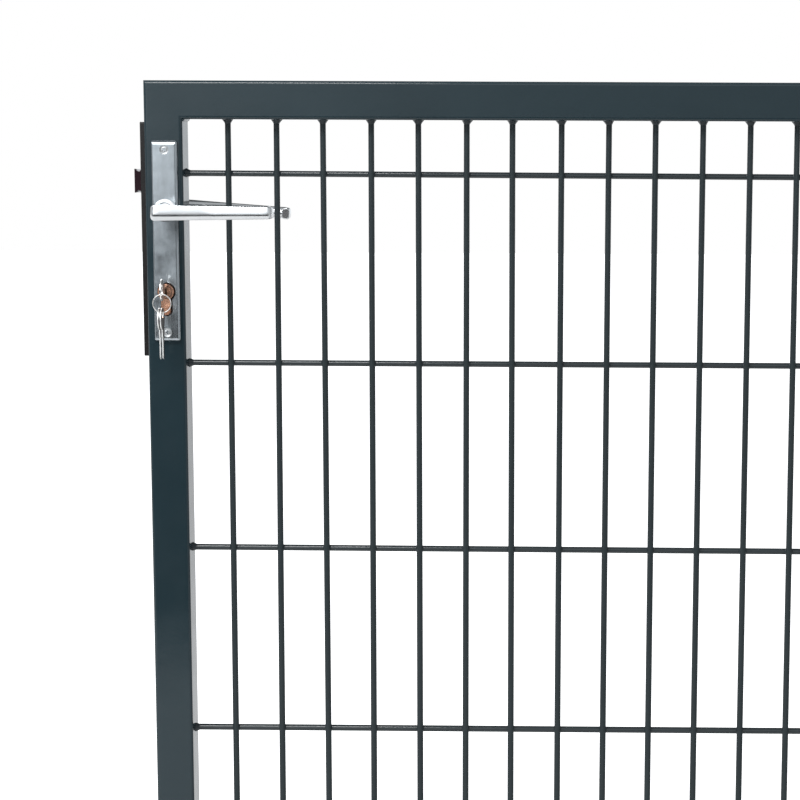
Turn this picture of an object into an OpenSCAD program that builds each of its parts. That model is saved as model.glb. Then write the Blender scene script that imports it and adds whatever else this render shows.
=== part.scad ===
// Mesh garden gate: one welded leaf with a lever lock, hung on a post.
// Millimetres. The origin is the centre of the post's foot, on the ground.
// X runs to the right seen from the front, Y to the back and Z up.

/* [Leaf] */
// Width of the leaf over its frame
leaf_w = 1020; // [620:50:1220]
// Height of the leaf over its frame
leaf_h = 996; // [796:200:1396]
// Side of the square frame tube
tube_w = 40; // [40:1:50]
// Wall of the frame tube
tube_t = 2; // [1.5:0.5:3]
// Outer corner radius of the frame tube
tube_r = 3.5; // [3:0.5:5]
// Gap between the ground and the leaf
ground_gap = 50; // [30:5:80]

/* [Mesh] */
// Diameter of the mesh wires
wire_d = 6; // [4:0.5:6]
// Distance between the upright wires
upright_pitch = 50; // [50:1:60]
// Distance between the level wires
level_pitch = 200; // [200:1:200]
// Depth that crossing wires are pressed into each other
wire_bite = 0.5; // [0.2:0.1:1]

/* [Lock] */
// Distance from the leaf's edge to the spindle
backset = 21.5; // [18:0.5:22]
// Distance from the leaf's top to the spindle
spindle_drop = 134.5; // [130:0.5:160]
// Distance from the spindle down to the lock cylinder
cylinder_drop = 85; // [85:0.5:92]
// Width of the two long plates
plate_w = 27; // [25:0.5:30]
// Height of the two long plates
plate_h = 210; // [200:1:220]
// How far a long plate stands off the tube
plate_t = 5; // [4:0.5:6]
// Width of the lock's face strip
strip_w = 24; // [20:1:26]
// Height of the lock's face strip
strip_h = 246; // [235:1:250]
// How far the face strip stands out of the tube
strip_t = 5.5; // [3:0.5:6]
// How far the latch stands out of the face strip
latch_out = 9.5; // [8:0.5:12]
// How far the lever draws the latch in
latch_travel = 9; // [7:0.5:9]

/* [Levers] */
// Length of a lever from its spindle to its tip
lever_l = 121.5; // [100:0.5:130]
// Distance from the tube to the middle of a lever's grip
lever_off = 56; // [54:1:60]
// Height of a lever at its neck
lever_root_h = 16.5; // [14:0.5:18]
// Height of a lever at its tip
lever_tip_h = 11.5; // [10:0.5:14]
// Angle by which the back lever hangs lower than the front one
back_sag = 3.3; // [0:0.1:4]

/* [Keys] */
// Length of a key
key_l = 54; // [50:1:58]
// Diameter of a key's bow
bow_d = 23; // [20:1:24]
// Thickness of a key
key_t = 2; // [2:0.1:2.5]
// Outer diameter of the key ring
ring_d = 19.8; // [19:0.1:21]
// Thickness of the key ring's wire
ring_t = 1.3; // [1:0.1:1.5]

/* [Post and hinges] */
// Side of the square post
post_w = 60; // [60:5:80]
// Wall of the post
post_t = 2; // [2:0.5:4]
// Height of the post over its foot plate
post_h = 1070; // [1060:10:1500]
// Side of the foot plate
foot_w = 140; // [120:5:180]
// Thickness of the foot plate
foot_t = 8; // [6:1:12]
// Distance between the foot plate's bolt holes
foot_pitch = 100; // [90:5:140]
// Diameter of the foot plate's bolt holes
foot_hole_d = 12; // [10:1:14]
// Diameter of the hinge pins and their threads
pin_d = 16; // [14:1:18]
// Play between a hinge pin and its eye, across the diameter
pin_play = 0.1; // [0.05:0.05:0.2]
// Distance from the leaf's edge to the hinge pins
pin_to_leaf = 36; // [34:1:44]
// Distance from the hinge pins to the post
pin_to_post = 38; // [36:1:44]
// Distance of each hinge from the leaf's top or bottom
hinge_inset = 198; // [150:1:240]

/* [Hidden] */
$fn = 64;
eps = 0.01;

// The leaf
pin_x = -post_w/2 - pin_to_post;
leaf_right = pin_x - pin_to_leaf;
leaf_left = leaf_right - leaf_w;
leaf_mid = (leaf_left + leaf_right)/2;
leaf_bottom = ground_gap;
leaf_top = ground_gap + leaf_h;
front_y = -tube_w/2;
back_y = tube_w/2;
level_count = floor((leaf_h - 2*tube_w)/level_pitch) + 1;
upright_count = floor((leaf_w - 2*tube_w)/upright_pitch);

// The lock
spindle_x = leaf_left + backset;
spindle_z = leaf_top - spindle_drop;
cylinder_z = spindle_z - cylinder_drop;
plate_top = spindle_z + 72.5;
plate_bevel = 3;
plate_sheet = 1.5;
collar_d = 23.4;
collar_t = 4;
strip_top = leaf_top - tube_w - 3;
case_w = 16;
case_d = 34;
case_h = 190;
case_top = strip_top - 28;
case_sheet = 1.5;
latch_z = spindle_z + 30;
latch_w = 11;
latch_h = 25;
latch_nose = 2.5;
dead_z = spindle_z - 52;
slide_gap = 0.5;
barrel_d = 17;
barrel_l = 60;
barrel_h = 33;
lobe_w = 10;
plug_d = 13;
plug_play = 0.1;
cam_w = 10;
spindle_s = 8;
spindle_out = 30;

// The keys: u runs from the bow's end to the tip, v across
bow_v = 3.75;
bow_hole_u = 7;
bow_hole_v = 4.1;
bow_hole_w = 7;
bow_hole_h = 11.8;
shoulder_u = 30;
blade_h = 7;
key_face_y = back_y - tube_w/2 - barrel_l/2;
bow_end_y = key_face_y - shoulder_u;
ring_y = bow_end_y + bow_hole_u;
ring_play = 0.3;
ring_z = cylinder_z - bow_hole_h/2 + bow_hole_v - ring_d/2 + ring_t + ring_play;
spare_play = 0.6;
spare_gap = 0.7;

// The hinges
upper_hinge_z = leaf_top - hinge_inset;
lower_hinge_z = leaf_bottom + hinge_inset;
eye_d = 30;
eye_h = 24;
pintle_drop = 22;
nut_w = 24;
nut_h = 13;
stud_hole_d = pin_d + 1;

// ---------- shapes that several pieces share ----------

// A square with rounded corners, made of exact arcs
module rounded_square(w, r) {
    square([w - 2*r, w], center = true);
    square([w, w - 2*r], center = true);
    for (x = [-1, 1], y = [-1, 1])
        translate([x*(w/2 - r), y*(w/2 - r)]) circle(r);
}

// Square tube standing on the ground plane
module square_tube(w, t, r, h)
    linear_extrude(h) difference() {
        rounded_square(w, r);
        rounded_square(w - 2*t, max(r - t, 0.5));
    }

// Wedge that cuts both ends of a frame side to 45 degrees, side lying along X
module mitre_wedge(len, w)
    rotate([90, 0, 0]) linear_extrude(2*w, center = true)
        polygon([[0, 0], [len, 0], [len - w, -w], [w, -w]]);

// A rail seen from its outer edge: it lies along X below the plane Z = 0
module mitred_side(len) intersection() {
    translate([0, 0, -tube_w/2]) rotate([0, 90, 0])
        square_tube(tube_w, tube_t, tube_r, len);
    mitre_wedge(len, tube_w);
}

// Hexagon nut with its bore along X, from X = 0 to X = nut_h
module nut() rotate([0, 90, 0]) difference() {
    cylinder(h = nut_h, d = nut_w/cos(30), $fn = 6);
    translate([0, 0, -1]) cylinder(h = nut_h + 2, d = pin_d + 0.2);
}

// Outline of the lock cylinder's body, its barrel centred on the origin
module barrel_outline(play = 0) {
    circle(d = barrel_d + 2*play);
    translate([0, barrel_d/2 - barrel_h + lobe_w/2])
        circle(d = lobe_w + 2*play);
    translate([-lobe_w/2 - play, barrel_d/2 - barrel_h + lobe_w/2])
        square([lobe_w + 2*play, barrel_h - barrel_d/2 - lobe_w/2]);
}

// Extrude an outline drawn in X and Z along Y, from y0 to y1
module along_y(y0, y1)
    translate([0, y1, 0]) rotate([90, 0, 0]) linear_extrude(y1 - y0) children();

// ---------- post ----------

module hinge_post() color("#3c4a50") difference() {
    translate([0, 0, foot_t]) square_tube(post_w, post_t, tube_r, post_h);
    for (z = [upper_hinge_z, lower_hinge_z])
        translate([0, 0, z - pintle_drop]) rotate([0, 90, 0])
            cylinder(h = 2*post_w, d = stud_hole_d, center = true);
}

module foot_plate() color("#3c4a50") difference() {
    linear_extrude(foot_t) rounded_square(foot_w, 6);
    for (x = [-1, 1], y = [-1, 1])
        translate([x*foot_pitch/2, y*foot_pitch/2, -1])
            cylinder(h = foot_t + 2, d = foot_hole_d);
}

// Push-in cap: a bevelled lid on a spigot
module post_cap() color("#202426") {
    lid_t = 4;
    lid_bevel = 1.5;
    translate([0, 0, foot_t + post_h]) {
        linear_extrude(lid_t - lid_bevel) rounded_square(post_w, tube_r);
        translate([0, 0, lid_t - lid_bevel])
            linear_extrude(lid_bevel) rounded_square(post_w - 2*lid_bevel, tube_r);
    }
    translate([0, 0, foot_t + post_h - 18])
        square_tube(post_w - 2*post_t - 0.4, 2.5, 2, 18);
}

// ---------- hinges ----------

// Post side: a threaded stud that carries an upright pin
module pintle(z) color("#b9bfc2") translate([pin_x, 0, z]) {
    stud_l = pin_to_post + post_w + nut_h + 5;
    translate([0, 0, -pintle_drop]) rotate([0, 90, 0]) cylinder(h = stud_l, d = pin_d);
    translate([0, 0, -pintle_drop - pin_d/2])
        cylinder(h = pintle_drop + pin_d/2 + eye_h/2 + 4, d = pin_d);
    translate([0, 0, -pintle_drop + pin_d/2 - 1])
        cylinder(h = pintle_drop - pin_d/2 - eye_h/2 + 1, d = pin_d + 7);
}
module upper_pintle() pintle(upper_hinge_z);
module lower_pintle() pintle(lower_hinge_z);

// Nuts on both sides of the post
module pintle_nuts(z) color("#b9bfc2")
    for (x = [-post_w/2 - nut_h, post_w/2])
        translate([x, 0, z - pintle_drop]) nut();
module upper_pintle_nuts() pintle_nuts(upper_hinge_z);
module lower_pintle_nuts() pintle_nuts(lower_hinge_z);

// Leaf side: an eye on a threaded shank that passes through the frame
module eye_bolt(z) color("#b9bfc2") translate([pin_x, 0, z]) difference() {
    union() {
        cylinder(h = eye_h, d = eye_d, center = true);
        rotate([0, -90, 0]) cylinder(h = pin_to_leaf + tube_w + nut_h + 5, d = pin_d);
    }
    cylinder(h = eye_h + 2, d = pin_d + pin_play, center = true);
}
module upper_eye_bolt() eye_bolt(upper_hinge_z);
module lower_eye_bolt() eye_bolt(lower_hinge_z);

// Nuts on both sides of the frame
module eye_nuts(z) color("#b9bfc2")
    for (x = [leaf_right, leaf_right - tube_w - nut_h])
        translate([x, 0, z]) nut();
module upper_eye_nuts() eye_nuts(upper_hinge_z);
module lower_eye_nuts() eye_nuts(lower_hinge_z);

// ---------- leaf frame ----------

module top_rail() color("#3c4a50")
    translate([leaf_left, 0, leaf_top]) mitred_side(leaf_w);

module bottom_rail() color("#3c4a50")
    translate([leaf_right, 0, leaf_bottom]) rotate([0, 180, 0]) mitred_side(leaf_w);

module lock_stile() color("#3c4a50") difference() {
    translate([leaf_left, 0, leaf_bottom]) rotate([0, -90, 0]) mitred_side(leaf_h);
    // slot for the lock case
    translate([leaf_left - 1, -case_w/2 - 1, case_top - case_h - 1])
        cube([tube_t + 2, case_w + 2, case_h + 2]);
    // spindle and cylinder holes, under the plates
    translate([spindle_x, 0, spindle_z]) rotate([90, 0, 0])
        cylinder(h = 2*tube_w, d = 18, center = true);
    translate([spindle_x, 0, cylinder_z]) along_y(-tube_w, tube_w) barrel_outline(0.6);
}

module hinge_stile() color("#3c4a50") difference() {
    translate([leaf_right, 0, leaf_top]) rotate([0, 90, 0]) mitred_side(leaf_h);
    for (z = [upper_hinge_z, lower_hinge_z])
        translate([leaf_right, 0, z]) rotate([0, 90, 0])
            cylinder(h = 3*tube_w, d = stud_hole_d, center = true);
}

// Upright wires in front, level wires behind, pressed together where they cross
module mesh_panel() color("#2f3a40") {
    half_step = (wire_d - wire_bite)/2;
    inner_w = leaf_w - 2*tube_w;
    inner_h = leaf_h - 2*tube_w;
    for (i = [0 : upright_count - 1])
        translate([leaf_mid + (i - (upright_count - 1)/2)*upright_pitch, -half_step,
                   leaf_bottom + tube_w])
            rotate([0, 0, 22.5]) cylinder(h = inner_h, d = wire_d, $fn = 8);
    for (i = [0 : level_count - 1])
        translate([leaf_left + tube_w, half_step,
                   (leaf_top + leaf_bottom)/2 + (i - (level_count - 1)/2)*level_pitch])
            rotate([0, 90, 0]) rotate([0, 0, 22.5]) cylinder(h = inner_w, d = wire_d, $fn = 8);
}

// ---------- lock ----------

module lock_case() color("#8d9295") difference() {
    inner = [case_d - 2*case_sheet, case_w - 2*case_sheet, case_h - 2*case_sheet];
    translate([leaf_left, -case_w/2, case_top - case_h]) cube([case_d, case_w, case_h]);
    translate([leaf_left + case_sheet, -inner.y/2, case_top - case_h + case_sheet])
        cube(inner);
    bolt_hole(latch_z);
    bolt_hole(dead_z);
    translate([spindle_x, 0, spindle_z]) rotate([90, 0, 0])
        cylinder(h = 2*case_w, d = 13, center = true);
    translate([spindle_x, 0, cylinder_z]) along_y(-case_w, case_w) barrel_outline(0.4);
}

// Opening for a bolt through the face strip and the front of the lock case
module bolt_hole(z)
    translate([leaf_left - 2*strip_t, -latch_w/2 - slide_gap, z - latch_h/2 - slide_gap])
        cube([3*strip_t, latch_w + 2*slide_gap, latch_h + 2*slide_gap]);

module face_strip() color("#1c1d1f") difference() {
    edge_r = 1.5;
    translate([leaf_left - strip_t, 0, strip_top - strip_h/2]) rotate([0, 90, 0])
        linear_extrude(strip_t) union() {
            square([strip_h - 2*edge_r, strip_w], center = true);
            square([strip_h, strip_w - 2*edge_r], center = true);
            for (x = [-1, 1], y = [-1, 1])
                translate([x*(strip_h/2 - edge_r), y*(strip_w/2 - edge_r)])
                    circle(edge_r);
        }
    bolt_hole(latch_z);
    bolt_hole(dead_z);
}

// Spring latch, bevelled on its front: the leaf closes forwards onto the strike
module latch_bolt() color("#3a2226") {
    tail_l = 12;
    head_l = strip_t + latch_out + tail_l;
    translate([leaf_left - strip_t - latch_out, 0, latch_z - latch_h/2])
        linear_extrude(latch_h) polygon([
            [0, latch_w/2], [head_l, latch_w/2], [head_l, -latch_w/2],
            [latch_out - 0.5, -latch_w/2], [0, latch_w/2 - latch_nose]
        ]);
}

module dead_bolt() color("#8d9295")
    translate([leaf_left - strip_t, -latch_w/2, dead_z - latch_h/2])
        cube([strip_t + 16, latch_w, latch_h]);

// Pressed tray: upright sides, bevelled rim and flat face; its back is open
module plate_tray(w, h, t) intersection() {
    bevel = min(plate_bevel, t - 0.5);
    rotate([90, 0, 0]) linear_extrude(h, center = true)
        polygon([[-w/2, 0], [w/2, 0], [w/2, t - bevel], [w/2 - bevel, t],
                 [-w/2 + bevel, t], [-w/2, t - bevel]]);
    rotate([90, 0, 90]) linear_extrude(w, center = true)
        polygon([[-h/2, 0], [h/2, 0], [h/2, t - bevel], [h/2 - bevel, t],
                 [-h/2 + bevel, t], [-h/2, t - bevel]]);
}

// Long plate, lying on Z = 0, with the spindle at the origin and its top along +Y
module long_plate() color("#a9b6bf") difference() {
    translate([0, plate_top - spindle_z - plate_h/2, 0]) difference() {
        plate_tray(plate_w, plate_h, plate_t);
        translate([0, 0, -eps])
            plate_tray(plate_w - 2*plate_sheet, plate_h - 2*plate_sheet,
                       plate_t - plate_sheet + eps);
    }
    translate([0, 0, -1]) cylinder(h = plate_t + 2, d = 18);
    translate([0, -cylinder_drop, -1]) linear_extrude(plate_t + 2) barrel_outline(0.4);
}

// Put something modelled on a flat plane onto the leaf's front or back face
module on_front() translate([spindle_x, front_y, spindle_z]) rotate([90, 0, 0]) children();
module on_back() translate([spindle_x, back_y, spindle_z])
    mirror([0, 1, 0]) rotate([90, 0, 0]) children();

module front_plate() on_front() long_plate();
module back_plate() on_back() long_plate();

// Bearing ring of a lever, seated on its plate
module collar() color("#d5d8da") translate([0, 0, plate_t]) difference() {
    rotate_extrude() polygon([
        [0, 0], [collar_d/2, 0], [collar_d/2, collar_t - 1.5],
        [collar_d/2 - 1.5, collar_t], [0, collar_t]
    ]);
    translate([0, 0, -1]) cylinder(h = collar_t + 2, d = lever_root_h + 1);
}
module front_collar() on_front() collar();
module back_collar() on_back() collar();

module cylinder_body() color("#b98a5e")
    translate([spindle_x, 0, cylinder_z]) difference() {
        along_y(-barrel_l/2, barrel_l/2) barrel_outline();
        rotate([90, 0, 0]) cylinder(h = barrel_l + 2, d = plug_d + plug_play, center = true);
        translate([-barrel_d, -cam_w/2, -barrel_d/2 - 0.5])
            cube([2*barrel_d, cam_w, 2*barrel_d]);
    }

// Plug with its keyway, its face at Y = 0 and its body along +Y
module plug() color("#c2976c") difference() {
    plug_l = (barrel_l - cam_w)/2;
    rotate([-90, 0, 0]) cylinder(h = plug_l, d = plug_d);
    translate([-key_t/2 - 0.15, -1, -blade_h/2 - 0.2])
        cube([key_t + 0.3, plug_l, blade_h + 0.4]);
}
module front_plug() translate([spindle_x, -barrel_l/2, cylinder_z]) plug();
module back_plug() translate([spindle_x, barrel_l/2, cylinder_z]) mirror([0, 1, 0]) plug();

// ---------- levers ----------

// A lever is one casting: neck, elbow, tapered grip and a short return at the tip.
// Its line lies in the plane of x (along the grip) and o (out from the tube).
elbow_r = 11;
return_r = 9;
grip_tip_d = 8.5;
lever_start = plate_t + 2;
lever_end_x = lever_l - grip_tip_d/2;
return_o = lever_off - return_r - 5;
arc_steps = 6;

// Stations along the line: [x, o, heading in degrees], heading 0 points outwards
lever_line = concat(
    [[0, lever_start, 0]],
    [for (i = [0 : arc_steps]) let (a = 90*i/arc_steps)
        [elbow_r*(1 - cos(a)), lever_off - elbow_r + elbow_r*sin(a), a]],
    [for (i = [1 : 4]) let (k = i/5)
        [elbow_r + k*(lever_end_x - return_r - elbow_r), lever_off, 90]],
    [for (i = [0 : arc_steps]) let (a = 90*i/arc_steps)
        [lever_end_x - return_r + return_r*sin(a),
         lever_off - return_r + return_r*cos(a), 90 + a]],
    [[lever_end_x, return_o, 180]]
);

// Width across the line and height of the section at x
function lever_depth(x) = lever_root_h + (grip_tip_d - lever_root_h)*min(1, x/(lever_l*0.45));
function lever_height(x) = lever_root_h + (lever_tip_h - lever_root_h)*x/lever_l;

// One ring of points around a station; the section is an ellipse
ring_n = 20;
function lever_ring(s) = [
    for (i = [0 : ring_n - 1]) let (
        a = 360*i/ring_n,
        across = cos(a)*lever_depth(s.x)/2,
        up = sin(a)*lever_height(s.x)/2
    ) [s.x + across*cos(s.z), up, s.y - across*sin(s.z)]
];

// Skin a list of equal rings and close both ends
module skin(rings) {
    n = len(rings[0]);
    last = len(rings) - 1;
    polyhedron(
        points = [for (r = rings) each r],
        faces = concat(
            [[for (i = [0 : n - 1]) i]],
            [for (k = [0 : last - 1], i = [0 : n - 1]) let (j = (i + 1) % n)
                each [[k*n + i, (k + 1)*n + i, (k + 1)*n + j], [k*n + i, (k + 1)*n + j, k*n + j]]],
            [[for (i = [n - 1 : -1 : 0]) last*n + i]]
        )
    );
}

// The casting hangs by its sag, and its square hole stays true to the spindle
module lever(sag = 0) color("#d9dcde") difference() {
    rotate([0, 0, -sag]) skin([for (s = lever_line) lever_ring(s)]);
    translate([-spindle_s/2, -spindle_s/2, 0]) cube([spindle_s, spindle_s, spindle_out]);
}
module front_lever() on_front() lever();
module back_lever() on_back() lever(back_sag);

module spindle() color("#8d9295") translate([spindle_x, 0, spindle_z])
    cube([spindle_s, tube_w + 2*spindle_out, spindle_s], center = true);

// ---------- keys ----------

// Outline of a key: bow, shoulder and toothed blade
module key_outline() {
    tooth = 3.5;
    difference() {
        union() {
            translate([bow_d/2, bow_v]) circle(d = bow_d);
            translate([bow_d - 5, -blade_h/2 - 1]) square([shoulder_u - bow_d + 5, blade_h + 3]);
            polygon([
                [shoulder_u - 1, -blade_h/2], [key_l - 3, -blade_h/2], [key_l, 0],
                [key_l - 2, blade_h/2], [shoulder_u - 1, blade_h/2]
            ]);
        }
        for (v = [-1, 1])
            translate([bow_hole_u, bow_hole_v + v*(bow_hole_h - bow_hole_w)/2])
                circle(d = bow_hole_w);
        translate([bow_hole_u - bow_hole_w/2, bow_hole_v - (bow_hole_h - bow_hole_w)/2])
            square([bow_hole_w, bow_hole_h - bow_hole_w]);
        for (i = [0 : 4])
            translate([shoulder_u + 4 + i*tooth, -blade_h/2])
                polygon([[-tooth/2, 0], [0, 1.2 + 0.5*(i % 3)], [tooth/2, 0]]);
    }
}

// Key with its bow's end at Y = 0 and its blade along +Y, v along Z
module key_flat() color("#cfcac0")
    translate([key_t/2, 0, 0]) rotate([0, -90, 0]) rotate([0, 0, 90])
        linear_extrude(key_t) mirror([0, 1, 0]) key_outline();

module inserted_key() translate([spindle_x, bow_end_y, cylinder_z]) key_flat();

module key_ring() color("#cfcac0")
    translate([spindle_x, ring_y, ring_z]) rotate([90, 0, 0]) rotate_extrude()
        translate([ring_d/2 - ring_t/2, 0]) circle(d = ring_t, $fn = 32);

// Spare key hanging edge-on from the bottom of the ring, its teeth to the back
module spare_key(side) {
    rest_z = ring_z - ring_d/2 + ring_t + spare_play + bow_hole_u - bow_hole_w/2;
    translate([spindle_x + side*(key_t + spare_gap)/2, ring_y + bow_hole_v, rest_z])
        mirror([0, 1, 0]) rotate([-90, 0, 0]) key_flat();
}
module left_spare_key() spare_key(-1);
module right_spare_key() spare_key(1);

hinge_post();
foot_plate();
post_cap();
upper_pintle();
lower_pintle();
upper_pintle_nuts();
lower_pintle_nuts();
top_rail();
bottom_rail();
lock_stile();
hinge_stile();
mesh_panel();
upper_eye_bolt();
lower_eye_bolt();
upper_eye_nuts();
lower_eye_nuts();
lock_case();
face_strip();
dead_bolt();
front_plate();
back_plate();
front_collar();
back_collar();
cylinder_body();
back_plug();
front_lever();
back_lever();
spindle();
latch_bolt();
front_plug();
inserted_key();
key_ring();
left_spare_key();
right_spare_key();
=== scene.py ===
"""Looks of the mesh garden gate: finishes, smooth wires and welds, levers, screws and keys around the CAD frame."""

import math
import random

import bmesh
import bpy
from mathutils import Matrix, Vector
from mathutils.geometry import tessellate_polygon


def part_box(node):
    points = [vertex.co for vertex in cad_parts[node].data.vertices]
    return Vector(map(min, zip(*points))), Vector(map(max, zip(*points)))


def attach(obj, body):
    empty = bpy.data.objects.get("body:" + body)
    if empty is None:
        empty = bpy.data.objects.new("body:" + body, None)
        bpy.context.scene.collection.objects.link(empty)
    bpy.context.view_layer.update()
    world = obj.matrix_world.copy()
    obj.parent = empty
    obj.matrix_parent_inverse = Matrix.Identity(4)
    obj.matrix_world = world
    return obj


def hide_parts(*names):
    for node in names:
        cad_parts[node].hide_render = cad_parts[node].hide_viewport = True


MM = 0.001
X, Y, Z = Vector((1, 0, 0)), Vector((0, 1, 0)), Vector((0, 0, 1))
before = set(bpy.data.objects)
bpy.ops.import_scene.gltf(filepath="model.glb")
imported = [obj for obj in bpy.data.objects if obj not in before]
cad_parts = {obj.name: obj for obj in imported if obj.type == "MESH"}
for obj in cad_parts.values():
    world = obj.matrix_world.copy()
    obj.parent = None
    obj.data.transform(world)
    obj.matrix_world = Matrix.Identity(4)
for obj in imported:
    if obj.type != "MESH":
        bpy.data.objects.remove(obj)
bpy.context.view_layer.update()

# ---------- places read from the frame ----------

STILE_LO, STILE_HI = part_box("lock_stile")
MESH_LO, MESH_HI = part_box("mesh_panel")
PLATE_LO, PLATE_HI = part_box("front_plate")
BACK_PLATE_LO, BACK_PLATE_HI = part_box("back_plate")
STRIP_LO, STRIP_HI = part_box("face_strip")
CYLINDER_LO, CYLINDER_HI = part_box("cylinder_body")
PLUG_LO, PLUG_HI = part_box("front_plug")
LATCH_LO, LATCH_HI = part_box("latch_bolt")
RING_LO, RING_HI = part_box("key_ring")
POST_LO, POST_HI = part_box("hinge_post")
RAIL_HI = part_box("top_rail")[1]
FOOT_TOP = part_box("foot_plate")[1].z
SPINDLE = sum(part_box("spindle"), Vector()) / 2

LEFT, FRONT, BACK = STILE_LO.x, STILE_LO.y, STILE_HI.y
TOP = RAIL_HI.z
TUBE = STILE_HI.x - STILE_LO.x


# ---------- shader nodes ----------

def add_node(tree, kind, inputs=(), **settings):
    """New shader node. Each input is a fixed value, or a socket of another node to link from."""
    node = tree.nodes.new("ShaderNode" + kind)
    for name, value in settings.items():
        setattr(node, name, value)
    for name, value in dict(inputs).items():
        if isinstance(value, bpy.types.NodeSocket):
            tree.links.new(value, node.inputs[name])
        else:
            node.inputs[name].default_value = value
    return node


def maths(tree, operation, *values):
    """Join values two by two, from the left."""
    total = values[0]
    for value in values[1:]:
        total = add_node(tree, "Math", {0: total, 1: value}, operation=operation).outputs["Value"]
    return total


def band(tree, value, low, high, to_low, to_high, interpolation="SMOOTHSTEP"):
    """Level that goes from to_low to to_high while a value goes from low to high."""
    inputs = {"Value": value, "From Min": low, "From Max": high, "To Min": to_low, "To Max": to_high}
    return add_node(tree, "MapRange", inputs, interpolation_type=interpolation).outputs["Result"]


class Finish:
    """A Principled material with a few helpers for procedural detail in object space."""

    def __init__(self, name, color, metallic=0.0, roughness=0.4, ior=1.5):
        self.material = bpy.data.materials.new(name)
        self.material.use_nodes = True
        self.tree = self.material.node_tree
        self.shader = self.tree.nodes["Principled BSDF"]
        self.shader.inputs["Base Color"].default_value = (*color, 1)
        self.shader.inputs["Metallic"].default_value = metallic
        self.shader.inputs["Roughness"].default_value = roughness
        self.shader.inputs["IOR"].default_value = ior
        self.place = self.node("TexCoord").outputs["Object"]
        self.last_bump = None

    def node(self, kind, inputs=(), **settings):
        return add_node(self.tree, kind, inputs, **settings)

    def scaled(self, scale):
        """Object coordinates stretched by a vector, for brushed or streaked marks."""
        return self.node("Mapping", {"Vector": self.place, "Scale": scale}).outputs["Vector"]

    def noise(self, scale, detail=3.0, rough=0.5, at=None):
        inputs = {"Vector": at or self.place, "Scale": scale, "Detail": detail, "Roughness": rough}
        return self.node("TexNoise", inputs).outputs["Fac"]

    def cells(self, scale):
        return self.node("TexVoronoi", {"Vector": self.place, "Scale": scale}).outputs["Color"]

    def away(self, place, size):
        """Distance from a place, in units of a size along each axis."""
        location = [-p / s for p, s in zip(place, size)]
        inputs = {"Vector": self.place, "Location": location, "Scale": [1 / s for s in size]}
        units = self.node("Mapping", inputs).outputs["Vector"]
        return self.node("VectorMath", {0: units}, operation="LENGTH").outputs["Value"]

    def ramp(self, value, low, high, start=0.3, end=0.7):
        """Map a texture value between two colours or two grey levels."""
        node = self.node("ValToRGB", {"Fac": value})
        for i, (position, level) in enumerate(((start, low), (end, high))):
            color = level if isinstance(level, tuple) else (level,) * 3
            node.color_ramp.elements[i].position = position
            node.color_ramp.elements[i].color = (*color, 1)
        return node.outputs["Color"]

    def mix(self, a, b, factor=0.5, blend="MIX"):
        inputs = {"Factor": factor, "A": a, "B": b}
        return self.node("Mix", inputs, data_type="RGBA", blend_type=blend).outputs["Result"]

    def drive(self, socket, value):
        """Let a node's output set one of the shader's inputs."""
        self.tree.links.new(value, self.shader.inputs[socket])

    def paint(self, color):
        self.drive("Base Color", color)

    def gloss(self, value):
        self.drive("Roughness", value)

    def bump(self, height, strength, distance):
        inputs = {"Height": height, "Strength": strength, "Distance": distance}
        if self.last_bump:
            inputs["Normal"] = self.last_bump
        self.last_bump = self.node("Bump", inputs).outputs["Normal"]
        self.drive("Normal", self.last_bump)


# ---------- materials ----------

# Painted shadow: the lever's shadow on both covers is painted dark around this place, below and right of its neck.
LEVER_SHADOW_PLACE, LEVER_SHADOW_SIZE = SPINDLE + Vector((10, 0, -13)) * MM, Vector((15, 500, 24)) * MM
# Painted shade: collars and necks keep their colour near this place and darken away from it, on their lower edges
# under the lever.
COLLAR_UNSHADED_PLACE, COLLAR_UNSHADED_SIZE = SPINDLE + Vector((2, 0, 5)) * MM, Vector((20, 500, 15)) * MM


def shade(color, amount):
    return tuple(min(1.0, c * amount) for c in color)


def powder_coat(name, color, roughness, ior=1.45):
    """Smooth polyester powder coat: a faint orange peel and slightly uneven gloss."""
    f = Finish(name, color, roughness=roughness, ior=ior)
    f.paint(f.ramp(f.noise(scale=9, detail=4), shade(color, 0.93), shade(color, 1.07)))
    f.gloss(f.ramp(f.noise(scale=35), roughness - 0.04, roughness + 0.05))
    f.bump(f.noise(scale=420, detail=2), strength=0.10, distance=0.4 * MM)
    f.bump(f.noise(scale=60, detail=2), strength=0.06, distance=1.2 * MM)
    return f.material


def mottled_zinc(name, color, roughness, spangle, contrast):
    """Zinc-plated pressed steel: cloudy crystals and fine scratches."""
    f = Finish(name, color, metallic=1.0, roughness=roughness)
    patches = f.noise(spangle, detail=6, rough=0.62)
    clouds = f.ramp(patches, shade(color, 1 - contrast), shade(color, 1 + contrast), start=0.36, end=0.64)
    faint = contrast / 2
    crystals = f.ramp(f.cells(spangle * 3), shade(color, 1 - faint), shade(color, 1 + faint), start=0.1, end=0.9)
    f.paint(f.mix(clouds, crystals, factor=0.35))
    f.gloss(f.ramp(f.noise(spangle * 2, detail=5), roughness - 0.07, roughness + 0.10))
    f.bump(f.noise(spangle * 6, detail=4), strength=0.12, distance=0.2 * MM)
    return f.material


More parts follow.
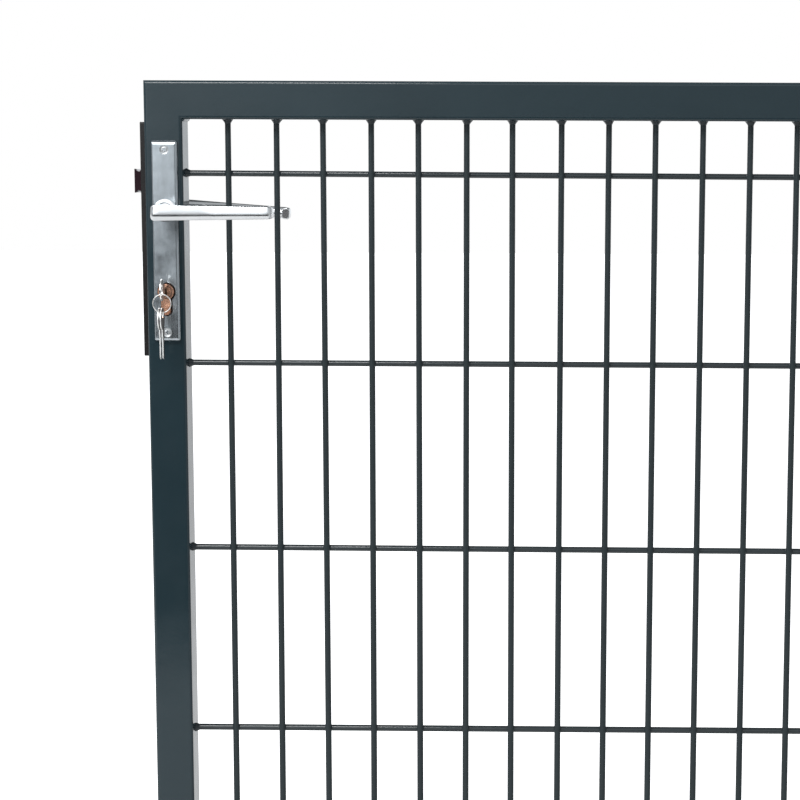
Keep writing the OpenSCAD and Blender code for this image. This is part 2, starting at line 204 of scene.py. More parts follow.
def plated_cover(name, color, roughness):
    """Bright zinc plate on smooth pressed steel: faint clouds, soft waves, and the lever's shadow painted dark below
    its neck.
    """
    f = Finish(name, color, metallic=1.0, roughness=roughness)
    patches = f.noise(scale=110, detail=5, rough=0.6)
    clouds = f.ramp(patches, shade(color, 0.96), shade(color, 1.10), start=0.36, end=0.66)
    streaks = f.noise(scale=1, detail=4, rough=0.55, at=f.scaled((160, 160, 22)))
    wiped = f.ramp(streaks, shade(color, 0.92), shade(color, 1.06), start=0.35, end=0.65)
    # Painted shadow: the cover's colour darkens near the place below the lever, where its shadow falls.
    lever_shadow = f.ramp(f.away(LEVER_SHADOW_PLACE, LEVER_SHADOW_SIZE), 0.42, 1.0, start=0.25, end=1.0)
    f.paint(f.mix(f.mix(clouds, wiped), lever_shadow, factor=1.0, blend="MULTIPLY"))
    f.gloss(f.ramp(f.noise(scale=70, detail=5, rough=0.6), roughness - 0.06, roughness + 0.08))
    f.bump(f.noise(scale=45, detail=2), strength=0.12, distance=0.8 * MM)
    return f.material


def satin_metal(name, color, roughness, grain, metallic=1.0):
    """Cast or rolled metal, polished, with faint drawn marks."""
    f = Finish(name, color, metallic=metallic, roughness=roughness)
    marks = f.noise(scale=1, detail=4, rough=0.6, at=f.scaled(grain))
    f.gloss(f.ramp(marks, roughness - 0.05, roughness + 0.08))
    f.bump(marks, strength=0.05, distance=0.1 * MM)
    f.paint(f.ramp(f.noise(scale=70, detail=4), shade(color, 0.95), shade(color, 1.03)))
    return f.material


def cast_metal_with_painted_shade(name, color, roughness):
    """Matt cast metal with painted shade: darker away from the collar's upper middle, so its lower edge under the
    lever looks shaded.
    """
    f = Finish(name, color, metallic=0.1, roughness=roughness)
    # Painted shade: the colour darkens with distance from the collar's upper middle.
    f.paint(f.ramp(f.away(COLLAR_UNSHADED_PLACE, COLLAR_UNSHADED_SIZE), color, shade(color, 0.12), start=0.80, end=1.0))
    f.bump(f.noise(scale=300), strength=0.05, distance=0.2 * MM)
    return f.material


def moulded_plastic(name, color):
    f = Finish(name, color, roughness=0.5)
    f.gloss(f.ramp(f.noise(scale=90), 0.42, 0.58))
    f.bump(f.noise(scale=1500, detail=2), strength=0.15, distance=0.1 * MM)
    return f.material


def lacquer(name, color, roughness, ior=1.45):
    """Thin lacquer over steel, worn a little lighter in places."""
    f = Finish(name, color, roughness=roughness, ior=ior)
    f.paint(f.ramp(f.noise(scale=40, detail=5), shade(color, 0.8), shade(color, 1.5), start=0.4, end=0.75))
    f.bump(f.noise(scale=500, detail=2), strength=0.08, distance=0.2 * MM)
    return f.material


FRAME_COAT = powder_coat("frame_coat", (0.0151, 0.0290, 0.0360), 0.13)
WIRE_COAT = powder_coat("wire_coat", (0.0265, 0.0345, 0.0375), 0.30, ior=1.25)
LEVEL_COAT = powder_coat("level_coat", (0.0200, 0.0270, 0.0300), 0.13, ior=1.5)
WELD_COAT = powder_coat("weld_coat", (0.012, 0.020, 0.025), 0.28)
PLATE_ZINC = plated_cover("plate_zinc", (0.49, 0.53, 0.56), 0.18)
HINGE_ZINC = mottled_zinc("hinge_zinc", (0.60, 0.62, 0.63), 0.34, spangle=200, contrast=0.10)
LOCK_STEEL = satin_metal("lock_steel", (0.50, 0.51, 0.52), 0.35, grain=(40, 40, 900))
LEVER_METAL = satin_metal("lever_aluminium", (0.76, 0.77, 0.78), 0.20, grain=(60, 900, 900))
CYLINDER_BRASS = satin_metal("cylinder_brass", (0.62, 0.34, 0.23), 0.24, grain=(900, 60, 900))
PLUG_BRASS = satin_metal("plug_brass", (0.66, 0.37, 0.25), 0.20, grain=(900, 60, 900))
# Collars and necks: painted shade on their lower edges, under the lever.
COLLAR_METAL = cast_metal_with_painted_shade("collar_aluminium", (0.93, 0.93, 0.94), 0.5)
LATCH_RIM = satin_metal("latch_rim", (0.45, 0.45, 0.46), 0.4, grain=(90, 90, 90), metallic=0.0)
# Dark for the plugs' joints, and painted shade in the cylinder openings.
GAP_SHADE_AND_JOINTS = lacquer("gap_shade_and_joints", (0.020, 0.008, 0.006), 0.5)
KEY_NICKEL = satin_metal("key_nickel", (0.90, 0.88, 0.85), 0.24, grain=(500, 500, 60))
SPARE_NICKEL = satin_metal("spare_nickel", (0.97, 0.96, 0.94), 0.42, grain=(500, 500, 60))
# Painted shade for the spare keys' flanks that face each other.
KEY_INNER_SHADE = satin_metal("key_inner_shade", (0.12, 0.11, 0.10), 0.35, grain=(500, 500, 60))
SCREW_METAL = satin_metal("screw_metal", (0.80, 0.81, 0.82), 0.22, grain=(700, 700, 700))
DISH_ZINC = satin_metal("dish_zinc", (0.50, 0.52, 0.53), 0.5, grain=(300, 300, 300))
COVER_SCREW = satin_metal("cover_screw", (0.55, 0.56, 0.57), 0.36, grain=(700, 700, 700))
BLACK_STRIP = lacquer("black_strip", (0.010, 0.009, 0.009), 0.26, ior=1.4)
LATCH_DARK = lacquer("latch_dark", (0.014, 0.004, 0.007), 0.35, ior=1.18)
CAP_PLASTIC = moulded_plastic("black_plastic", (0.016, 0.018, 0.020))
PLUG_GREY = moulded_plastic("plug_grey", (0.13, 0.13, 0.135))

HINGE_NUTS = ("upper_pintle_nuts", "lower_pintle_nuts", "upper_eye_nuts", "lower_eye_nuts")
NODE_FINISH = {
    FRAME_COAT: ("hinge_post", "foot_plate", "top_rail", "bottom_rail", "lock_stile", "hinge_stile"),
    CAP_PLASTIC: ("post_cap",),
    HINGE_ZINC: ("upper_pintle", "lower_pintle", "upper_eye_bolt", "lower_eye_bolt", *HINGE_NUTS),
    LOCK_STEEL: ("lock_case", "dead_bolt", "spindle"),
    BLACK_STRIP: ("face_strip",),
    COLLAR_METAL: ("front_collar", "back_collar"),
    CYLINDER_BRASS: ("cylinder_body",),
    PLUG_BRASS: ("front_plug", "back_plug"),
}


# ---------- mesh helpers ----------

def smooth(obj, degrees=35):
    """Smooth shading with crisp edges past the angle."""
    for p in obj.data.polygons:
        p.use_smooth = True
    obj.data.set_sharp_from_angle(angle=math.radians(degrees))


def round_edges(obj, width, segments=2):
    """A small bevel that catches the light along real edges."""
    m = obj.modifiers.new("edge", "BEVEL")
    m.width = width
    m.segments = segments
    m.limit_method = "ANGLE"
    m.angle_limit = math.radians(40)


def dress_nodes():
    """Finishes and soft edges of the CAD nodes that stay in view."""
    for material, names in NODE_FINISH.items():
        for name in names:
            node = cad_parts[name]
            node.data.materials.clear()
            node.data.materials.append(material)
            smooth(node)
    for names, width, segments in (
        (("front_collar", "back_collar"), 0.5, 2),
        (("face_strip",), 1.2, 4),
        (HINGE_NUTS, 0.8, 3),
        (("front_plug", "back_plug", "cylinder_body"), 0.3, 2),
        (("foot_plate",), 1.0, 2),
        (("post_cap",), 0.6, 2),
    ):
        for name in names:
            round_edges(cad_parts[name], width * MM, segments)


def piece(name, bm, material, slot, body, *replaced, angle=35):
    """Turn a bmesh into a piece of the gate that rides on a body and may stand for CAD nodes."""
    bmesh.ops.recalc_face_normals(bm, faces=bm.faces)
    mesh = bpy.data.meshes.new(name)
    bm.to_mesh(mesh)
    bm.free()
    mesh.materials.append(material)
    obj = bpy.data.objects.new(name, mesh)
    bpy.context.scene.collection.objects.link(obj)
    smooth(obj, angle)
    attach(obj, body)
    if replaced:
        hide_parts(*replaced)
    return obj


def between(low, high, k):
    return low + (high - low) * k


def ring_around(centre, u, v, radius_u, radius_v, sides):
    angles = [math.tau * i / sides for i in range(sides)]
    return [centre + u * (math.cos(a) * radius_u) + v * (math.sin(a) * radius_v) for a in angles]


def bridge(bm, loops, closed=False):
    """Faces between equal loops of vertices."""
    faces = []
    for a, b in zip(loops, loops[1:] + loops[:1] if closed else loops[1:]):
        for i in range(len(a)):
            j = (i + 1) % len(a)
            faces.append(bm.faces.new((a[i], a[j], b[j], b[i])))
    return faces


def skin_rings(bm, rings, closed=False):
    """Closed skin over equal rings of points; the first and last are capped, or joined if closed."""
    loops = [[bm.verts.new(p) for p in ring] for ring in rings]
    bridge(bm, loops, closed)
    if not closed:
        bm.faces.new(loops[0])
        bm.faces.new(list(reversed(loops[-1])))


# ---------- wires and welds ----------

WIRE_R, WIRE_R_GROWS = 3.1 * MM, 0.4 * MM
WIRE_SIDES = 20
UPRIGHT_PITCH, LEVEL_PITCH = 50 * MM, 200 * MM
UPRIGHT_Y = MESH_LO.y + WIRE_R
LEVEL_Y = MESH_HI.y - WIRE_R
MESH_MID = (MESH_LO + MESH_HI) / 2
UPRIGHT_LOADING = 0.4 * MM
# How far each wire's ends stand off the grid, in mm: top and bottom of an upright, left and right of a level wire.
UPRIGHT_DRIFT = (
    (0.5, -0.6), (1.7, -0.0), (-0.0, 0.7), (1.2, 0.4), (0.3, 0.9), (1.3, 0.2),
    (-0.5, 0.1), (0.7, 0.5), (0.7, 0.3), (-0.7, -0.5), (-0.6, -0.5), (-1.0, -0.1),
    (-2.3, -0.4), (-0.9, -0.3), (0.4, 0.2), (-0.6, 0.3), (0.7, -0.2), (-0.3, 0.1),
)
LEVEL_DRIFT = ((-1.0, -2.0), (-0.7, -1.8), (0.0, -2.3), (0.7, -0.3), (1.7, -0.8))

WELD_REACH, WELD_HEIGHT = 6.4 * MM, 4.0 * MM
LEVEL_WELD_REACH, LEVEL_WELD_HEIGHT = 5.2 * MM, 4.6 * MM
WELD_SIDES = 14
WELD_LUMPS, WELD_LEAN = (0.72, 1.0), 0.22
# A fillet's section from the tube to the wire: shares of its reach and of its height.
WELD_PROFILE = ((1.0, -0.02), (0.92, 0.10), (0.55, 0.42), (0.18, 0.82), (0.02, 1.05))
# A crossing weld's lobe, in wire radii: its place beside the wire's middle and its half height, width and depth.
LOBE_OFF, LOBE_HIGH, LOBE_WIDE, LOBE_DEEP = 0.72, 1.05, 0.75, 0.60
LOBE_STEPS, LOBE_SIDES = 5, 10


def wire_radius(z):
    """The coated wires are a little thicker low down than at the top."""
    return WIRE_R + WIRE_R_GROWS * (MESH_HI.z - z) / (MESH_HI.z - MESH_LO.z)


def spread(middle, count, pitch):
    return [middle + (i - (count - 1) / 2) * pitch for i in range(count)]


def weld_bead(bm, rng, at, axis, reach=WELD_REACH, height=WELD_HEIGHT):
    """Uneven fillet around a wire's end: axis points from the tube along the wire."""
    u = axis.orthogonal().normalized()
    v = axis.cross(u)
    angles = [math.tau * i / WELD_SIDES for i in range(WELD_SIDES)]
    lean = rng.uniform(0, math.tau)
    lumps = [rng.uniform(*WELD_LUMPS) + WELD_LEAN * math.cos(a - lean) for a in angles]
    rings = []
    for share, h in WELD_PROFILE:
        ring = []
        for i, a in enumerate(angles):
            lump = (lumps[i - 1] + 2 * lumps[i] + lumps[(i + 1) % WELD_SIDES]) / 4
            radius = WIRE_R * 1.01 + (reach - WIRE_R) * share * lump
            ring.append(at + axis * (height * h) + (u * math.cos(a) + v * math.sin(a)) * radius)
        rings.append(ring)
    skin_rings(bm, rings)


def crossing_weld(bm, rng, at):
    """Small squeezed-out lobes on both sides of a wire where it is resistance welded to another."""
    wide = LOBE_WIDE * rng.uniform(0.8, 1.1)
    for side in (-1, 1):
        centre = at + X * (side * WIRE_R * LOBE_OFF)
        rings = []
        for k in range(LOBE_STEPS):
            a = math.pi * (k + 0.5) / LOBE_STEPS
            middle, across = centre + Z * (math.cos(a) * WIRE_R * LOBE_HIGH), math.sin(a) * WIRE_R
            rings.append(ring_around(middle, X, Y, across * wide, across * LOBE_DEEP, LOBE_SIDES))
        skin_rings(bm, rings)


def build_wires():
    """Wires that stand a millimetre or two off their grid, as a hand-loaded welding jig leaves them."""
    rng = random.Random(7)
    uprights, levels = [], []
    for x, (top, bottom) in zip(spread(MESH_MID.x, len(UPRIGHT_DRIFT), UPRIGHT_PITCH), UPRIGHT_DRIFT):
        x += rng.uniform(-UPRIGHT_LOADING, UPRIGHT_LOADING)
        uprights.append((x + bottom * MM, x + top * MM))
    for z, (left, right) in zip(spread(MESH_MID.z, len(LEVEL_DRIFT), LEVEL_PITCH), LEVEL_DRIFT):
        levels.append((z + left * MM, z + right * MM))

    bm = bmesh.new()
    for xs in uprights:
        ends = [Vector((x, UPRIGHT_Y, z)) for x, z in zip(xs, (MESH_LO.z, MESH_HI.z))]
        skin_rings(bm, [ring_around(p, X, Y, wire_radius(p.z), wire_radius(p.z), WIRE_SIDES) for p in ends])
    upright_faces = len(bm.faces)
    for zs in levels:
        ends = [Vector((x, LEVEL_Y, z)) for x, z in zip((MESH_LO.x, MESH_HI.x), zs)]
        skin_rings(bm, [ring_around(p, Y, Z, wire_radius(p.z), wire_radius(p.z), WIRE_SIDES) for p in ends])
    for face in list(bm.faces)[upright_faces:]:
        face.material_index = 1
    wires = piece("mesh_wires", bm, WIRE_COAT, "wire_coat", "leaf", "mesh_panel")
    wires.data.materials.append(LEVEL_COAT)

    bm = bmesh.new()
    wide, high = MESH_HI.x - MESH_LO.x, MESH_HI.z - MESH_LO.z
    for x_low, x_high in uprights:
        for z_left, z_right in levels:
            z = between(z_left, z_right, (x_low - MESH_LO.x) / wide)
            x = between(x_low, x_high, (z - MESH_LO.z) / high)
            crossing_weld(bm, rng, Vector((x, (UPRIGHT_Y + LEVEL_Y) / 2, z)))
        weld_bead(bm, rng, Vector((x_high, UPRIGHT_Y, MESH_HI.z)), -Z)
        weld_bead(bm, rng, Vector((x_low, UPRIGHT_Y, MESH_LO.z)), Z)
    for z_left, z_right in levels:
        for x, z, axis in ((MESH_LO.x, z_left, X), (MESH_HI.x, z_right, -X)):
            weld_bead(bm, rng, Vector((x, LEVEL_Y, z)), axis, LEVEL_WELD_REACH, LEVEL_WELD_HEIGHT)
    piece("wire_welds", bm, WELD_COAT, "wire_coat", "leaf", angle=60)


# ---------- levers ----------

LEVER_SIDES = 56
LEVER_LEFT, LEVER_REACH = -5.6 * MM, 120.2 * MM
LEVER_START, LEVER_OFFSET = 7 * MM, 56 * MM
LEVER_ROOT_H, LEVER_TIP_H = 16.5 * MM, 12.6 * MM
LEVER_TIP_D = 8.5 * MM
LEVER_THINS_BY = 0.45
LEVER_END_R = 5 * MM
LEVER_END_FLAT, LEVER_END_SQUASH = 0.93, 1.8
LEVER_END_STEPS, LEVER_MIDDLE_STEPS = 8, 24
# The front's curve: the crest's height, and above and below it how much of a quarter circle it takes and
# how far it falls back, all in half heights.
LEVER_CREST = -0.24
CURVE_ABOVE, CURVE_BELOW = (0.13, 0.22), (0.59, 0.35)
RIM_START, RIM_DROP = 0.86, 0.22
NECK_STEPS, NECK_SIDES = 12, 48
NECK_X, NECK_WAIST, NECK_OVAL = 0.9 * MM, 0.6 * MM, 0.94
RETURN_OUT = 42 * MM
RETURN_SQUARE = 0.6
RETURN_RINGS = ((LEVER_OFFSET, 1), (RETURN_OUT + 1.5 * MM, 1), (RETURN_OUT + 0.5 * MM, 0.96), (RETURN_OUT, 0.86))
PLUG_SHARE = 0.78
BACK_SAG = math.radians(3.3)
FRONT_LEVER_STRETCH = 0.986


def front_drop(up):
    """How far the front of the grip falls back at a height -1..1, in half heights."""
    n = up - LEVER_CREST
    limit, bulge = CURVE_ABOVE if n > 0 else CURVE_BELOW
    n /= 1 - LEVER_CREST if n > 0 else 1 + LEVER_CREST
    rim = RIM_DROP * max(0, (up - RIM_START) / (1 - RIM_START)) ** 2.5
    return rim + bulge * (1 - math.sqrt(1 - limit * n * n)) / (1 - math.sqrt(1 - limit))


def grip_ring(x, inset):
    """Section of the grip: a gently curved front and a round back, drawn in near its ends."""
    along = max(0, x) / LEVER_REACH
    depth = between(LEVER_ROOT_H, LEVER_TIP_D, min(1, along / LEVER_THINS_BY)) - inset
    height = between(LEVER_ROOT_H, LEVER_TIP_H, along) - LEVER_END_SQUASH * inset
    points = []
    for i in range(LEVER_SIDES):
        a = math.tau * i / LEVER_SIDES
        up, side = math.sin(a), math.cos(a)
        edge = depth / 2 - front_drop(math.copysign(1, up)) * height / 2
        reach = depth / 2 - front_drop(up) * height / 2 if side >= 0 else edge + (depth / 2 + edge) * side
        points.append(Vector((x, -(LEVER_OFFSET - inset / 2 + reach), up * height / 2)))
    return points


def grip_stations():
    """Places along the grip (x, inset), with rounded ends."""
    ends = []
    for k in range(LEVER_END_STEPS + 1):
        t = LEVER_END_R * (1 - math.cos(math.pi / 2 * k / LEVER_END_STEPS))
        ends.append((t, LEVER_END_R - math.sqrt(LEVER_END_R ** 2 - (LEVER_END_R - t) ** 2)))
    ends[0] = (0, LEVER_END_R * LEVER_END_FLAT)
    first, last = LEVER_LEFT + LEVER_END_R, LEVER_REACH - LEVER_END_R
    middle = [(between(first, last, k / LEVER_MIDDLE_STEPS), 0) for k in range(1, LEVER_MIDDLE_STEPS)]
    return [(LEVER_LEFT + t, i) for t, i in ends] + middle + [(LEVER_REACH - t, i) for t, i in reversed(ends)]


def return_ring(out, shrink):
    """Section of the short return at the tip, a rectangle with very round corners."""
    points = []
    for i in range(LEVER_SIDES):
        a = math.tau * i / LEVER_SIDES
        u, v = (math.copysign(abs(w) ** RETURN_SQUARE, w) * shrink / 2 for w in (math.cos(a), math.sin(a)))
        points.append(Vector((LEVER_REACH - LEVER_TIP_D / 2 + u * LEVER_TIP_D, -out, v * LEVER_TIP_H)))
    return points


def lever_place(back):
    place = Matrix.Translation((SPINDLE.x, BACK if back else FRONT, SPINDLE.z))
    if back:
        return place @ Matrix.Rotation(BACK_SAG, 4, "Y") @ Matrix.Scale(-1, 4, Y)
    return place @ Matrix.Scale(FRONT_LEVER_STRETCH, 4, X)


def build_lever(side, back):
    bm = bmesh.new()
    skin_rings(bm, [grip_ring(*s) for s in grip_stations()])
    skin_rings(bm, [return_ring(*r) for r in RETURN_RINGS])
    bmesh.ops.transform(bm, matrix=lever_place(back), verts=bm.verts)
    piece(side + "_grip", bm, LEVER_METAL, "lever_aluminium", "handle", side + "_lever", angle=50)
    neck = []
    for k in range(NECK_STEPS):
        t = k / NECK_STEPS
        r = LEVER_ROOT_H / 2 - NECK_WAIST * (1 + math.sin(math.pi * t))
        at = Vector((NECK_X, -between(LEVER_START, LEVER_OFFSET, t), 0))
        neck.append(ring_around(at, X, Z, r * NECK_OVAL, r, NECK_SIDES))
    bm = bmesh.new()
    skin_rings(bm, neck)
    bmesh.ops.transform(bm, matrix=lever_place(back), verts=bm.verts)
    piece(side + "_neck", bm, COLLAR_METAL, "lever_aluminium", "handle")


def build_lever_plugs():
    """Grey plug in the open end of each lever."""
    bm = bmesh.new()
    for back in (False, True):
        start = len(bm.verts)
        skin_rings(bm, [return_ring(RETURN_OUT + out * MM, PLUG_SHARE) for out in (1, -0.15)])
        bm.verts.ensure_lookup_table()
        bmesh.ops.transform(bm, matrix=lever_place(back), verts=bm.verts[start:])
    piece("lever_plugs", bm, PLUG_GREY, "black_plastic", "handle", angle=40)


# ---------- covers and screws ----------

PLATE_SCREW_INSET, STRIP_SCREW_INSET = 9.5 * MM, 12 * MM
DISH_R, DISH_FOOT_R, DISH_DEEP = 4.8 * MM, 3.2 * MM, 1.0 * MM
DISH_SIDES = 40
# The pressed edge: its width in front view, as a share of it on each side, and its fall at the sides and ends.
COVER_ROUND, SIDE_RISE, END_RISE = 4.5 * MM, 2.9 * MM, 4.5 * MM
COVER_LEFT, COVER_RIGHT, COVER_FOOT = 0.5, 0.68, 0.8
COVER_CORNER, COVER_CORNER_LEAST = 2.0 * MM, 0.6 * MM
COVER_STEPS, CORNER_STEPS = 9, 6
CYLINDER_GAP, CYLINDER_HALF_W = 1.2 * MM, 5 * MM
CYLINDER_R = (CYLINDER_HI.x - CYLINDER_LO.x) / 2
CYLINDER_X, CYLINDER_Z = (CYLINDER_LO.x + CYLINDER_HI.x) / 2, CYLINDER_HI.z - CYLINDER_R
OPENING_FLOOR = 0.3 * MM
OPENING_HEAD_STEPS, OPENING_FOOT_STEPS = 32, 16
SCREW_RINGS, SCREW_SECTORS = 22, 56
HEAD_SQUARE, HEAD_FALL, HEAD_RIM = 3.2, 0.78, 0.22
RECESS_DEEP, RECESS_RISE = 1.5 * MM, 0.55
RECESS_SIDE, RECESS_END = 0.35 * MM, 0.5 * MM


def cross_screw(bm, at, out, radius, dome, turn, slot_w=0.8 * MM, slot_l=2.9 * MM):
    """Pan head with a cross recess, drawn as a fine height field on a disc."""
    side = Matrix.Rotation(turn, 3, out) @ out.orthogonal().normalized()
    up = out.cross(side)

    def vertex(r, a):
        x, y = r * math.cos(a), r * math.sin(a)
        across, along = sorted((abs(x), abs(y)))
        height = dome * (1 - (r / radius) ** HEAD_SQUARE * HEAD_FALL)
        recess = min(1, max(0, (slot_w - across) / RECESS_SIDE)) * min(1, max(0, (slot_l - along) / RECESS_END))
        height -= recess * RECESS_DEEP * (1 - along / slot_l * RECESS_RISE)
        return bm.verts.new(at + side * x + up * y + out * height)

    centre = vertex(0, 0)
    angles = [math.tau * i / SCREW_SECTORS for i in range(SCREW_SECTORS)]
    loops = [[vertex(radius * k / SCREW_RINGS, a) for a in angles] for k in range(1, SCREW_RINGS + 1)]
    loops.append([bm.verts.new(v.co - out * (dome * HEAD_RIM)) for v in loops[-1]])
    for a, b in zip(loops, loops[1:]):
        for i in range(SCREW_SECTORS):
            j = (i + 1) % SCREW_SECTORS
            bm.faces.new((a[i], b[i], b[j], a[j]))
    for i in range(SCREW_SECTORS):
        bm.faces.new((centre, loops[0][i], loops[0][(i + 1) % SCREW_SECTORS]))


def rounded_rectangle(x0, z0, x1, z1, radius):
    corners = ((x1, z1, 0), (x0, z1, 1), (x0, z0, 2), (x1, z0, 3))
    points = []
    for x, z, quarter in corners:
        cx, cz = x - math.copysign(radius, x - x0 - 1e-6), z - math.copysign(radius, z - z0 - 1e-6)
        for k in range(CORNER_STEPS + 1):
            a = math.pi / 2 * (quarter + k / CORNER_STEPS)
            points.append((cx + radius * math.cos(a), cz + radius * math.sin(a)))
    return points


def arc(x, z, radius, start, end, steps):
    angles = [start + (end - start) * k / steps for k in range(steps + 1)]
    return [(x + radius * math.cos(a), z + radius * math.sin(a)) for a in angles]


def cylinder_opening():
    """Keyhole outline (x, z) a little larger than the cylinder."""
    radius = CYLINDER_R + CYLINDER_GAP
    half = CYLINDER_HALF_W + CYLINDER_GAP
    start = -math.asin(math.sqrt(1 - (half / radius) ** 2))
    low = CYLINDER_LO.z - CYLINDER_GAP + half
    head = arc(CYLINDER_X, CYLINDER_Z, radius, start, math.pi - start, OPENING_HEAD_STEPS)
    return head + arc(CYLINDER_X, low, half, math.pi, math.tau, OPENING_FOOT_STEPS)


def build_cover(name, node, lo, hi, out):
    """Pressed cover with softly rounded edges, dished screw holes and an opening for the cylinder."""
    thick = hi.y - lo.y
    seat = hi.y if out.y < 0 else lo.y
    bm = bmesh.new()

    def loop(outline, depth):
        return [bm.verts.new((x, seat + out.y * depth, z)) for x, z in outline]

    def edge_ring(inset, drop):
        """Outline drawn in by an inset; drop is its share of the edge's fall, None at the seat."""
        outline = rounded_rectangle(
            lo.x + inset * COVER_LEFT, lo.z + inset * COVER_FOOT, hi.x - inset * COVER_RIGHT, hi.z - inset,
            max(COVER_CORNER_LEAST, COVER_CORNER - inset * 0.4),
        )
        ring = []
        for i, point in enumerate(outline):
            corner, step = divmod(i, CORNER_STEPS + 1)
            end = math.sin(math.pi / 2 * (corner + step / CORNER_STEPS)) ** 2
            ring += loop([point], 0 if drop is None else thick - between(SIDE_RISE, END_RISE, end) * drop)
        return ring

    rings = [edge_ring(0, None)]
    for k in range(COVER_STEPS + 1):
        a = math.pi / 2 * k / COVER_STEPS
        rings.append(edge_ring(COVER_ROUND * (1 - math.cos(a)), 1 - math.sin(a)))
    bridge(bm, rings)
    bm.faces.new(rings[0])
    contours = [rings[-1]]
    middle = (lo.x + hi.x) / 2
    for z in (hi.z - PLATE_SCREW_INSET, lo.z + PLATE_SCREW_INSET):
        dish = [
            loop(arc(middle, z, r, 0, math.tau, DISH_SIDES)[:-1], thick - deep)
            for r, deep in ((DISH_R, 0), (DISH_FOOT_R, DISH_DEEP))
        ]
        for face in bridge(bm, dish):
            face.material_index = 1
        bm.faces.new(dish[1])
        contours.append(dish[0])
    opening = [loop(cylinder_opening(), depth) for depth in (thick, OPENING_FLOOR)]
    bridge(bm, opening)
    contours.append(opening[0])
    flat = [v for contour in contours for v in contour]
    for a, b, c in tessellate_polygon([[Vector((v.co.x, v.co.z, 0)) for v in contour] for contour in contours]):
        bm.faces.new((flat[a], flat[b], flat[c]))
    cover = piece(name, bm, PLATE_ZINC, "plate_zinc", "leaf", node, angle=30)
    cover.data.materials.append(DISH_ZINC)
    cover.modifiers.new("normals", "WEIGHTED_NORMAL").keep_sharp = True


def build_screws():
    """Cross-head screws in the covers' dishes and in the face strip."""
    for name, lo, hi, y, out in (
        ("front_screws", PLATE_LO, PLATE_HI, PLATE_LO.y, -Y),
        ("back_screws", BACK_PLATE_LO, BACK_PLATE_HI, BACK_PLATE_HI.y, Y),
    ):
        bm = bmesh.new()
        for z, turn in ((hi.z - PLATE_SCREW_INSET, 0.25), (lo.z + PLATE_SCREW_INSET, 0.9)):
            at = Vector(((lo.x + hi.x) / 2, y, z)) - out * (DISH_DEEP + 0.1 * MM)
            cross_screw(bm, at, out, radius=3.1 * MM, dome=0.4 * MM, turn=turn, slot_w=0.65 * MM, slot_l=2.2 * MM)
        piece(name, bm, COVER_SCREW, "hinge_zinc", "leaf", angle=50)
    bm = bmesh.new()
    for z in (STRIP_HI.z - STRIP_SCREW_INSET, STRIP_LO.z + STRIP_SCREW_INSET):
        at = Vector((STRIP_LO.x, (STRIP_LO.y + STRIP_HI.y) / 2, z))
        cross_screw(bm, at, -X, radius=4 * MM, dome=1.2 * MM, turn=0.6)
    piece("strip_screws", bm, SCREW_METAL, "hinge_zinc", "leaf", angle=50)


# ---------- cylinder ----------

JOINT_IN, JOINT_OUT, JOINT_PROUD = 0.3 * MM, 0.4 * MM, 0.06 * MM
JOINT_SIDES = 48


def build_cylinder_joints():
    """Dark sheet at the bottom of each cylinder opening, as painted shade in the gap around the cylinder, and the dark
    joint around each plug.
    """
    bm = bmesh.new()
    # Painted shade: a thin dark sheet fills each opening behind the cylinder, so the gap around it looks dark.
    for seat, out in ((PLATE_HI.y, -Y), (BACK_PLATE_LO.y, Y)):
        outline = cylinder_opening()
        skin_rings(bm, [[Vector((x, seat + out.y * d * MM, z)) for x, z in outline] for d in (0.05, 0.4)])
    plug = (PLUG_HI.x - PLUG_LO.x) / 2
    inner, outer = plug - JOINT_IN, plug + JOINT_OUT
    for face, out in ((CYLINDER_LO.y, -Y), (CYLINDER_HI.y, Y)):
        at = Vector((CYLINDER_X, face, CYLINDER_Z))
        bridge(bm, [
            [bm.verts.new(p) for p in ring_around(at + out * h, X, out.cross(X), r, r, JOINT_SIDES)]
            for r, h in ((outer, 0), (outer, JOINT_PROUD), (inner, JOINT_PROUD), (inner, 0))
        ])
    piece("cylinder_joints", bm, GAP_SHADE_AND_JOINTS, "black_strip", "leaf", angle=40)


# ---------- latch ----------

NOTCH_DEEP, NOTCH_WIDE = 2.8 * MM, 6.6 * MM
NOTCH_STEPS, NOTCH_LEFT = 12, 0.7 * MM
LATCH_NOSE, CHEEK = 2.5 * MM, 2.2 * MM
CORE_NOSE, CORE_INSET, CORE_ROUND = 0.3 * MM, 0.25 * MM, 0.5 * MM
SLANT_END = STRIP_LO.x - 0.5 * MM


def latch_outline():
    """Points (x, z) around the latch seen from the front, notched above and below near its nose."""
    middle, half = (LATCH_LO.x + NOTCH_LEFT + STRIP_LO.x) / 2, NOTCH_WIDE / 2
    z_mid, z_half = (LATCH_LO.z + LATCH_HI.z) / 2, (LATCH_HI.z - LATCH_LO.z) / 2
    radius = (half ** 2 + NOTCH_DEEP ** 2) / (2 * NOTCH_DEEP)
    reach = math.asin(min(1.0, half / radius))
    top = [(LATCH_LO.x, z_half)]
    for k in range(NOTCH_STEPS + 1):
        a = between(-reach, reach, k / NOTCH_STEPS)
        top.append((middle + radius * math.sin(a), z_half - NOTCH_DEEP + radius - radius * math.cos(a)))
    top.append((LATCH_HI.x, z_half))
    return [(x, z_mid + z) for x, z in top] + [(x, z_mid - z) for x, z in reversed(top)]


def bevel_y(x):
    """The latch's front face: slanted from its nose to near the strip."""
    k = min(1.0, (x - LATCH_LO.x) / (SLANT_END - LATCH_LO.x))
    return between(LATCH_HI.y - LATCH_NOSE, LATCH_LO.y, k)


